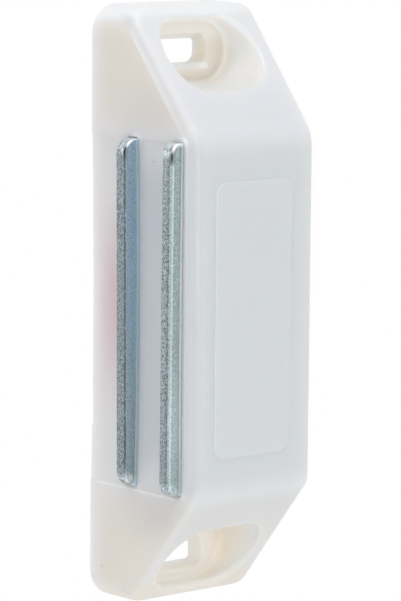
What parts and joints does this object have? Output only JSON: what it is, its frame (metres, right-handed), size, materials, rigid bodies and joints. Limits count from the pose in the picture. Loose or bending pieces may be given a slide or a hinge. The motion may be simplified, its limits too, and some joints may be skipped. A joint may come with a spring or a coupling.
{
  "type": "magnetic catch",
  "caption": "Compact magnetic cabinet-door catch: moulded housing with sloped screw ends, floating magnet and protruding steel pole plates.",
  "frame": {"origin": "on the mounting plane, midway between the screw pockets", "axes": "+X out of the mounting plane, -Y the way the pole plates look, +Z along the housing's length"},
  "size_m": [0.0153, 0.0172, 0.058],
  "materials": {
    "housing_plastic": "satin moulded, slightly translucent white",
    "retainer_plastic": "moulded, dull red",
    "plated_steel": "zinc plated, sheared edges",
    "ferrite": "ground sintered ferrite"
  },
  "bodies": {
    "root": {"housing": "housing_plastic", "retainer": "retainer_plastic"},
    "magnet_pack": {"inner_pole_plate": "plated_steel", "outer_pole_plate": "plated_steel", "magnet": "ferrite"}
  },
  "joints": [
    {"name": "pack_float", "type": "slide", "parent": "root", "child": "magnet_pack", "axis": [0, 1, 0], "range_m": [0, 0.0005]}
  ]
}
